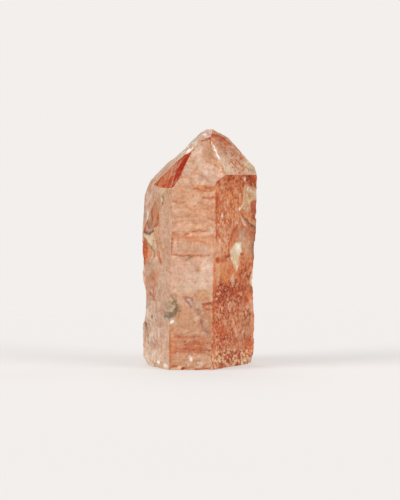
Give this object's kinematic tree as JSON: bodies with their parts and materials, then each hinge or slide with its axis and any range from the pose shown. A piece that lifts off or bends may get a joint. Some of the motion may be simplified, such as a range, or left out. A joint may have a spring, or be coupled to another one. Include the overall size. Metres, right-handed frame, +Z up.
{
  "type": "quartz crystal tower",
  "caption": "Upright red quartz point with flat faces, growth ledges and chips; stands by itself on its sawn foot as an ornament.",
  "frame": {"origin": "on the sawn foot, where the crystal's axis meets it", "axes": "+Z up along the crystal, -Y towards the front wall, +X to the right as one looks at the front"},
  "size_m": [0.049, 0.0413, 0.1],
  "materials": {
    "quartz": "cloudy pink and red quartz, glossy where it is flat, rough with rust-red iron oxide on the right wall"
  },
  "bodies": {
    "root": {"quartz_tower": "quartz"}
  },
  "joints": []
}
